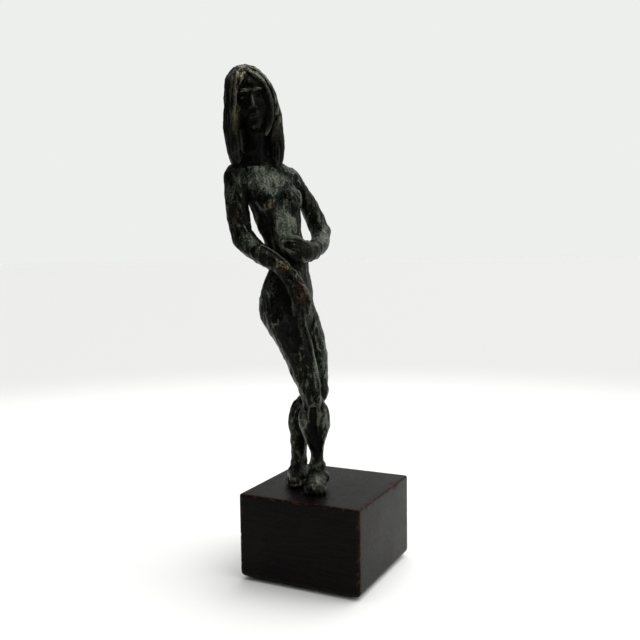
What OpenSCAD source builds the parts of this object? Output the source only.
// Patinated bronze figure, cast in sections and pinned together,
// standing on a stained hardwood plinth with a felt underside.
// Millimetres, +Z up. The origin is the centre of the felt's underside.

/* [Plinth] */
// Width of the plinth, along X
plinth_width = 76; // [70:1:100]
// Depth of the plinth, along Y
plinth_depth = 76; // [70:1:100]
// Height of the wooden block
plinth_height = 50; // [38:1:80]
// Rounding of the plinth's top arrises
top_round = 1.2; // [0.6:0.1:2.5]
// Rounding of the plinth's bottom arrises
bottom_round = 4; // [2:0.5:6]

/* [Felt] */
// Thickness of the felt glued under the plinth
felt_thickness = 1; // [0.6:0.1:3]
// How far the felt stays inside the plinth's flat underside
felt_inset = 1; // [0.5:0.5:4]

/* [Figure] */
// Height of the bronze figure above the plinth
figure_height = 245; // [200:1:300]
// Turn of the figure on the plinth; 45 faces the front right corner
figure_turn = 45; // [40:1:50]

/* [Fixings] */
// Diameter of the threaded studs in the feet
stud_diameter = 4; // [3:0.5:4.5]
// Clearance round a stud where it passes the wood, on the radius
stud_clearance = 0.3; // [0.1:0.1:0.5]
// Depth of the tapped hole in each foot
tapped_depth = 9; // [6:0.5:10]
// Depth of the pocket for each nut and washer
pocket_depth = 14; // [8:1:20]
// Room between a washer and the wall of its pocket, on the radius
pocket_room = 1.5; // [0.5:0.5:2]
// Outer diameter of the washers
washer_diameter = 9; // [8.5:0.5:10]
// Thickness of the washers
washer_thickness = 0.8; // [0.5:0.1:1.5]
// Width of the hexagon nuts across their flats
nut_width = 7; // [7:0.5:8]
// Height of the hexagon nuts
nut_height = 3.2; // [2:0.1:4]
// Length of stud that stands below each nut
stud_tail = 2; // [1:0.5:3]

/* [Casting joints] */
// Diameter of the bronze dowels that pin the castings together
dowel_diameter = 3; // [2:0.5:4]
// Clearance round a dowel, on the radius
dowel_clearance = 0.05; // [0.02:0.01:0.1]
// Length of dowel in each of the two castings that it joins
dowel_bite = 7; // [4:0.5:8]
// Room left at the blind end of each dowel's hole
dowel_end_room = 0.5; // [0.2:0.1:1]
// Gap that is filled with braze where two castings lie together
seam_gap = 0.1; // [0.05:0.05:0.3]

/* [Hidden] */

// The figure is laid out at this height and then scaled to figure_height.
layout_height = 245;
figure_scale = figure_height / layout_height;
plinth_top = felt_thickness + plinth_height;
bronze = [0.13, 0.12, 0.10];
dark_wood = [0.13, 0.10, 0.09];
steel = [0.62, 0.63, 0.64];

// Figure layout. The figure faces -Y, its left is +X, and heights start at the plinth's top.
// A station is [x, y, height, half width, half depth, turn of the section].
// Torso from the crotch up to the neck
torso_line = [
    [-21.5, 1.0, 97, 11.0, 10.0, 20],
    [-22.0, 1.0, 103, 15.4, 12.6, 20],
    [-22.6, 0.8, 111, 16.4, 13.6, 20],
    [-22.6, 0.4, 118, 15.4, 12.2, 19],
    [-22.2, -0.4, 126, 13.0, 10.0, 15],
    [-22.2, -1.2, 134, 11.0, 8.6, 10],
    [-24.0, -1.0, 141, 10.9, 8.2, 6],
    [-25.3, -0.4, 147, 11.4, 8.5, 3],
    [-26.3, 1.0, 155, 12.8, 9.4, 0],
    [-27.6, 2.5, 163, 14.0, 10.0, 0],
    [-30.5, 4.0, 174, 14.8, 9.2, 0],
    [-33.0, 5.5, 182, 14.0, 7.6, 0],
    [-35.5, 7.0, 188, 9.5, 6.4, 0],
    [-36.8, 7.5, 192, 6.8, 6.0, 0]
];
// Neck, from its seam up into the skull
neck_line = [
    [-36.8, 7.5, 192, 6.6, 5.9, 0],
    [-37.8, 6.0, 201, 6.0, 6.2, -8],
    [-39.0, 5.0, 214, 6.6, 7.6, -12]
];
// Skull and face
head_line = [
    [-38.6, -2.4, 208.6, 3.2, 3.0, -15],
    [-38.9, -0.6, 212, 6.0, 7.0, -15],
    [-39.6, 1.4, 218, 8.4, 10.8, -15],
    [-40.4, 3.0, 225, 10.2, 12.6, -15],
    [-41.4, 4.2, 232, 10.2, 12.4, -15],
    [-42.2, 4.8, 238, 7.4, 9.4, -15],
    [-42.4, 5.0, 241, 3.2, 4.8, -15]
];
// Hair: a thick cap that ends as two locks on the shoulders and a fall down the back
hair_line = [
    [-38.0, 12.5, 187, 9.0, 3.4, -8],
    [-38.4, 12.0, 194, 12.6, 5.2, -8],
    [-39.2, 11.0, 206, 15.2, 7.4, -8],
    [-40.0, 10.2, 218, 15.0, 9.0, -10],
    [-41.2, 9.0, 229, 13.4, 10.6, -14],
    [-42.6, 7.4, 237.6, 10.8, 10.6, -15],
    [-43.4, 6.6, 242.6, 6.8, 7.0, -15],
    [-43.6, 6.4, 245, 2.6, 2.6, -15]
];
right_lock_line = [
    [-50.4, 2.5, 191.0, 2.0, 2.2, 0],
    [-51.6, 2.6, 196, 3.6, 4.2, 0],
    [-52.4, 2.4, 210, 3.6, 6.0, 0],
    [-51.8, 2.0, 224, 3.8, 6.8, 0],
    [-48.6, 2.0, 235, 4.6, 7.0, 0],
    [-44.6, 3.0, 242, 4.0, 5.0, 0]
];
left_lock_line = [
    [-27.0, 1.5, 188.6, 2.2, 2.0, 0],
    [-26.0, 2.6, 196, 3.4, 4.2, 0],
    [-26.2, 3.2, 210, 3.4, 6.0, 0],
    [-29.6, 3.0, 224, 3.6, 6.8, 0],
    [-35.0, 3.0, 235, 4.4, 7.0, 0],
    [-40.4, 3.6, 242, 4.0, 5.0, 0]
];
// Arms, from the shoulder seam to the finger tips
right_arm_line = [
    [-47.2, 6.0, 189.2, 2.6, 2.6, 0],
    [-50.2, 5.5, 185, 5.4, 5.4, 0],
    [-51.6, 4.0, 176, 5.8, 6.0, 0],
    [-51.4, 2.0, 166, 6.2, 5.8, 0],
    [-50.6, 0.0, 156, 5.8, 5.6, 0],
    [-48.2, -3.0, 147, 5.6, 5.6, 0],
    [-44.2, -6.6, 141, 5.6, 6.0, 0],
    [-38.2, -11.4, 137.0, 5.2, 6.4, 0],
    [-32.8, -15.0, 133, 3.8, 5.2, 0],
    [-28.2, -17.0, 128, 3.0, 4.8, 0],
    [-24.0, -18.2, 122, 2.4, 5.6, 0],
    [-20.4, -17.6, 115, 2.2, 5.0, 0],
    [-17.4, -15.8, 109, 1.8, 3.4, 0],
    [-16.2, -14.8, 106.4, 0.8, 1.6, 0]
];
left_arm_line = [
    [-20.8, 7.6, 187.4, 2.2, 2.2, 0],
    [-17.4, 8.0, 183.4, 4.8, 5.0, 0],
    [-11.8, 9.0, 174.6, 5.2, 5.6, 0],
    [-5.2, 10.0, 165, 5.2, 5.4, 0],
    [-0.2, 11.0, 156, 5.2, 5.4, 0],
    [2.4, 10.0, 148.6, 5.2, 5.6, 0],
    [-0.6, 4.6, 143.6, 5.4, 6.0, 0],
    [-5.4, -2.0, 141.0, 4.6, 6.0, 0],
    [-10.8, -8.0, 140.0, 3.6, 5.4, 0],
    [-16.0, -12.0, 140.0, 2.6, 5.0, 0],
    [-22.0, -14.0, 141.2, 2.0, 4.8, 0],
    [-27.4, -14.4, 142.2, 1.6, 3.6, 0],
    [-29.4, -14.2, 142.4, 0.8, 1.8, 0]
];
// Legs, from above the hip seam to the ankle
right_leg_line = [
    [-25.6, 0.0, 112, 9.8, 11.4, 18],
    [-24.4, -0.8, 104, 10.8, 11.6, 16],
    [-22.2, -2.4, 94, 10.6, 11.4, 12],
    [-18.2, -4.6, 82.6, 9.6, 10.6, 8],
    [-15.0, -6.4, 70.4, 7.8, 9.2, 2],
    [-11.8, -8.0, 59, 6.2, 7.6, -6],
    [-9.8, -8.6, 52, 6.2, 7.2, -12],
    [-9.0, -6.8, 42, 8.4, 7.4, -15],
    [-8.4, -5.6, 35, 7.8, 6.6, -15],
    [-7.2, -4.6, 28, 5.2, 5.2, -15],
    [-6.6, -3.4, 21, 4.0, 4.4, -15],
    [-6.6, -2.6, 14, 4.4, 5.4, -15],
    [-6.4, -1.6, 6, 4.8, 6.0, -15]
];
left_leg_line = [
    [-16.6, 4.4, 112, 8.4, 10.4, 24],
    [-13.0, 5.0, 102, 9.2, 10.6, 26],
    [-9.4, 5.2, 91, 9.4, 10.2, 30],
    [-6.4, 4.6, 80, 8.8, 9.4, 34],
    [-4.8, 4.0, 68, 7.8, 8.2, 38],
    [-4.2, 3.6, 57.6, 7.2, 7.4, 40],
    [-7.0, 5.6, 50.0, 7.4, 7.4, 30],
    [-10.6, 9.0, 42.6, 8.0, 7.6, 15],
    [-11.6, 11.6, 34, 7.0, 7.0, 0],
    [-12.2, 13.6, 26, 5.8, 6.0, -10],
    [-12.4, 14.6, 19, 4.8, 5.2, -20],
    [-12.4, 14.8, 12, 4.8, 5.6, -23],
    [-12.4, 15.0, 6, 4.8, 5.8, -23]
];
// Feet, from the heel to the toes
right_foot_line = [
    [-4.8, 5.2, 3.6, 2.8, 3.4, 0],
    [-5.2, 3.4, 4.8, 4.6, 5.0, 0],
    [-6.8, -2.0, 5.6, 5.2, 6.4, 0],
    [-8.6, -9.0, 4.6, 6.0, 5.4, 0],
    [-10.0, -14.6, 3.0, 6.8, 4.2, 0],
    [-11.0, -18.6, 2.0, 6.4, 2.8, 0],
    [-11.6, -20.8, 1.4, 4.4, 1.6, 0]
];
left_foot_line = [
    [-10.6, 21.2, 3.6, 2.8, 3.4, 0],
    [-11.2, 19.6, 4.8, 4.6, 5.0, 0],
    [-13.2, 14.6, 5.6, 5.2, 6.4, 0],
    [-15.8, 8.6, 4.6, 6.0, 5.4, 0],
    [-18.0, 3.4, 3.0, 6.4, 4.2, 0],
    [-19.4, 0.0, 2.0, 5.8, 2.8, 0],
    [-20.0, -1.6, 1.4, 4.0, 1.6, 0]
];
// Rounded masses on the torso: [centre, half width, half depth, half height]
right_breast = [[-34.0, -3.8, 167.0], 6.6, 5.8, 7.0];
left_breast = [[-20.8, -3.8, 167.6], 6.6, 5.8, 7.0];
right_buttock = [[-29.6, 5.0, 107.0], 8.2, 8.8, 11.0];
left_buttock = [[-18.6, 8.4, 107.0], 8.2, 8.8, 11.0];

// Seams: [point on the seam, outward normal of the torso there]
neck_seam = [[-36.8, 7.5, 192], [0, 0, 1]];
hip_seam_height = 101;
// Dowels: [middle, direction]
neck_dowel_line = [[-36.8, 7.5, 192], [0, 0, 1]];
right_shoulder_dowel_line = [[-47.0, 5.2, 179], [-0.98, 0, -0.19]];
left_shoulder_dowel_line = [[-17.6, 8.0, 179.5], [0.95, 0, 0.31]];
right_hip_dowel_line = [[-25.0, -0.4, 101], [0, 0, 1]];
left_hip_dowel_line = [[-12.6, 5.2, 101], [0, 0, 1]];
// Studs: place of each stud under its foot, in the figure's layout
right_stud_place = [-6.8, -2.0];
left_stud_place = [-12.2, 14.6];

sides = 16;            // corners of a loft's section
rings_per_span = 2;    // rings between two stations
egg_rings = 8;         // rings of a rounded mass
egg_reach = 80;        // how far up and down its half circle the rings go
far = 300;             // larger than any casting, for half spaces
cut_margin = 0.1;      // overshoot of a hole past the face that it opens

// The seam gap in the layout's own size
layout_gap = seam_gap / figure_scale;
felt_width = plinth_width - 2 * bottom_round - 2 * felt_inset;
felt_depth = plinth_depth - 2 * bottom_round - 2 * felt_inset;
pocket_diameter = washer_diameter + 2 * pocket_room;
pocket_roof = felt_thickness + pocket_depth;
nut_top = pocket_roof - washer_thickness;
nut_bottom = nut_top - nut_height;
stud_bottom = nut_bottom - stud_tail;
stud_top = plinth_top + tapped_depth - dowel_end_room;

// --- Lofts ---------------------------------------------------------------

function unit(v) = v / norm(v);
function place_of(s) = [s[0], s[1], s[2]];
// Catmull-Rom value between b and c
function between(a, b, c, d, t) =
    0.5 * ((2 * b) + (c - a) * t + (2 * a - 5 * b + 4 * c - d) * t * t
        + (3 * b - a - 3 * c + d) * t * t * t);
// The stations of a line, with smooth ones between them
function smoothed(line) = let (last = len(line) - 1) concat(
    [for (i = [0 : last - 1], k = [0 : rings_per_span - 1])
        between(line[max(i - 1, 0)], line[i], line[i + 1], line[min(i + 2, last)],
            k / rings_per_span)],
    [line[last]]);
// One elliptical ring, square to the line at station i and larger by grow
function ring(line, i, grow) = let (
    last = len(line) - 1,
    along = unit(place_of(line[min(i + 1, last)]) - place_of(line[max(i - 1, 0)])),
    front = [sin(line[i][5]), -cos(line[i][5]), 0],
    facing = norm(cross(along, front)) > 0.35 ? front : [0, 0, 1],
    across = unit(cross(along, facing)),
    forward = cross(across, along))
    [for (k = [0 : sides - 1]) let (a = 360 * k / sides)
        place_of(line[i]) + across * (line[i][3] + grow) * cos(a)
            + forward * (line[i][4] + grow) * sin(a)];
module skin(line, grow) {
    n = len(line);
    points = [for (i = [0 : n - 1]) each ring(line, i, grow)];
    walls = [for (i = [0 : n - 2], k = [0 : sides - 1]) let (
            a = i * sides + k, b = i * sides + (k + 1) % sides)
        each [[a, b, a + sides], [b, b + sides, a + sides]]];
    first = [for (k = [sides - 1 : -1 : 0]) k];
    last = [for (k = [0 : sides - 1]) (n - 1) * sides + k];
    polyhedron(points, concat(walls, [first, last]));
}
module loft(line, grow = 0) {
    skin(smoothed(line), grow);
}
// A rounded mass: [centre, half width, half depth, half height]
module egg(shape, grow = 0) {
    c = shape[0];
    skin([for (i = [0 : egg_rings]) let (a = egg_reach * (2 * i / egg_rings - 1))
        [c[0], c[1], c[2] + shape[3] * sin(a), shape[1] * cos(a), shape[2] * cos(a), 0]], grow);
}
// Joins what it holds into one body before a hole is bored in it
module joined() {
    resize([0, 0, 0]) union() children();
}
// A half space beyond a seam, on the side that the seam's normal points to
module beyond(seam, gap = 0) {
    n = unit(seam[1]);
    translate(seam[0] + n * gap) rotate([0, acos(n[2]), atan2(n[1], n[0])])
        translate([-far, -far, 0]) cube([2 * far, 2 * far, far]);
}
module above(height) {
    translate([-far, -far, height]) cube([2 * far, 2 * far, far]);
}
module below(height) {
    translate([-far, -far, height - far]) cube([2 * far, 2 * far, far]);
}

// --- Places on the plinth ------------------------------------------------

// From the layout's frame to the part's own frame
function turned(v) = [
    v[0] * cos(figure_turn) - v[1] * sin(figure_turn),
    v[0] * sin(figure_turn) + v[1] * cos(figure_turn), v[2]];
function placed(p) = turned(p * figure_scale) + [0, 0, plinth_top];
module on_plinth() {
    translate([0, 0, plinth_top]) rotate([0, 0, figure_turn]) scale(figure_scale) children();
}
// A round bar along a dowel's line: [middle, direction]
module bar(line, radius, half_length) {
    n = turned(unit(line[1]));
    translate(placed(line[0])) rotate([0, acos(n[2]), atan2(n[1], n[0])])
        cylinder(h = 2 * half_length, r = radius, center = true, $fn = 48);
}
module dowel(line) {
    color(bronze) bar(line, dowel_diameter / 2, dowel_bite);
}
module dowel_hole(line) {
    bar(line, dowel_diameter / 2 + dowel_clearance, dowel_bite + dowel_end_room);
}
// A round bar that stands at a stud's place
module upright(place, bottom, top, diameter) {
    p = placed([place[0], place[1], 0]);
    translate([p[0], p[1], bottom]) cylinder(h = top - bottom, d = diameter, $fn = 48);
}
module tapped_hole(place) {
    upright(place, plinth_top - cut_margin, plinth_top + tapped_depth,
        stud_diameter + 2 * dowel_clearance);
}

// --- The figure's masses, in the layout's frame --------------------------

module torso_mass(grow = 0) {
    difference() {
        union() {
            loft(torso_line, grow);
            for (mass = [right_breast, left_breast, right_buttock, left_buttock]) egg(mass, grow);
        }
        beyond(neck_seam, grow);
        below(hip_seam_height - grow);
    }
}
module right_leg_mass(grow = 0) {
    loft(right_leg_line, grow);
    loft(right_foot_line, grow);
}
module left_leg_mass(grow = 0) {
    loft(left_leg_line, grow);
    loft(left_foot_line, grow);
}
module head_mass() {
    for (line = [neck_line, head_line, hair_line, right_lock_line, left_lock_line]) loft(line);
}

// --- Sub-parts -----------------------------------------------------------

// A rounded block: upright sides, a close round at the top and a full one at the bottom
module wooden_block() {
    hull() for (x = [-1, 1], y = [-1, 1]) {
        translate([x * (plinth_width / 2 - bottom_round), y * (plinth_depth / 2 - bottom_round),
            felt_thickness + bottom_round]) sphere(r = bottom_round, $fn = 32);
        translate([x * (plinth_width / 2 - top_round), y * (plinth_depth / 2 - top_round),
            plinth_top - top_round]) sphere(r = top_round, $fn = 32);
    }
}
module plinth() {
    color(dark_wood) difference() {
        wooden_block();
        for (place = [right_stud_place, left_stud_place]) {
            upright(place, felt_thickness - cut_margin, plinth_top + cut_margin,
                stud_diameter + 2 * stud_clearance);
            upright(place, felt_thickness - cut_margin, pocket_roof, pocket_diameter);
        }
    }
}
module felt_pad() {
    color([0.08, 0.14, 0.10])
        translate([-felt_width / 2, -felt_depth / 2, 0])
            cube([felt_width, felt_depth, felt_thickness]);
}
module torso_casting() {
    color(bronze) difference() {
        on_plinth() joined() torso_mass();
        for (line = [neck_dowel_line, right_shoulder_dowel_line, left_shoulder_dowel_line,
                right_hip_dowel_line, left_hip_dowel_line]) dowel_hole(line);
    }
}
module head_casting() {
    color(bronze) difference() {
        on_plinth() joined() difference() {
            head_mass();
            torso_mass(layout_gap);
            loft(right_arm_line, layout_gap);
            loft(left_arm_line, layout_gap);
        }
        dowel_hole(neck_dowel_line);
    }
}
module right_arm_casting() {
    color(bronze) difference() {
        on_plinth() joined() difference() {
            loft(right_arm_line);
            torso_mass(layout_gap);
            right_leg_mass(layout_gap);
            left_leg_mass(layout_gap);
        }
        dowel_hole(right_shoulder_dowel_line);
    }
}
module left_arm_casting() {
    color(bronze) difference() {
        on_plinth() joined() difference() {
            loft(left_arm_line);
            torso_mass(layout_gap);
            loft(right_arm_line, layout_gap);
        }
        dowel_hole(left_shoulder_dowel_line);
    }
}
module right_leg_casting() {
    color(bronze) difference() {
        on_plinth() joined() difference() {
            right_leg_mass();
            torso_mass(layout_gap);
            above(hip_seam_height);
            below(0);
        }
        for (line = [right_hip_dowel_line, left_hip_dowel_line]) dowel_hole(line);
        tapped_hole(right_stud_place);
    }
}
module left_leg_casting() {
    color(bronze) difference() {
        on_plinth() joined() difference() {
            left_leg_mass();
            torso_mass(layout_gap);
            right_leg_mass(layout_gap);
            above(hip_seam_height);
            below(0);
        }
        dowel_hole(left_hip_dowel_line);
        tapped_hole(left_stud_place);
    }
}
module stud(place) {
    color(steel) upright(place, stud_bottom, stud_top, stud_diameter);
}
module washer(place) {
    color(steel) difference() {
        upright(place, nut_top, pocket_roof, washer_diameter);
        upright(place, nut_top - cut_margin, pocket_roof + cut_margin,
            stud_diameter + 2 * stud_clearance);
    }
}
module nut(place) {
    p = placed([place[0], place[1], 0]);
    color(steel) difference() {
        translate([p[0], p[1], nut_bottom])
            cylinder(h = nut_height, d = nut_width / cos(30), $fn = 6);
        upright(place, nut_bottom - cut_margin, nut_top + cut_margin,
            stud_diameter + 2 * dowel_clearance);
    }
}

plinth();
felt_pad();
torso_casting();
head_casting();
right_arm_casting();
left_arm_casting();
right_leg_casting();
left_leg_casting();
dowel(neck_dowel_line);  // neck_dowel
dowel(right_shoulder_dowel_line);  // right_shoulder_dowel
dowel(left_shoulder_dowel_line);  // left_shoulder_dowel
dowel(right_hip_dowel_line);  // right_hip_dowel
dowel(left_hip_dowel_line);  // left_hip_dowel
stud(right_stud_place);  // right_foot_stud
stud(left_stud_place);  // left_foot_stud
washer(right_stud_place);  // right_foot_washer
washer(left_stud_place);  // left_foot_washer
nut(right_stud_place);  // right_foot_nut
nut(left_stud_place);  // left_foot_nut
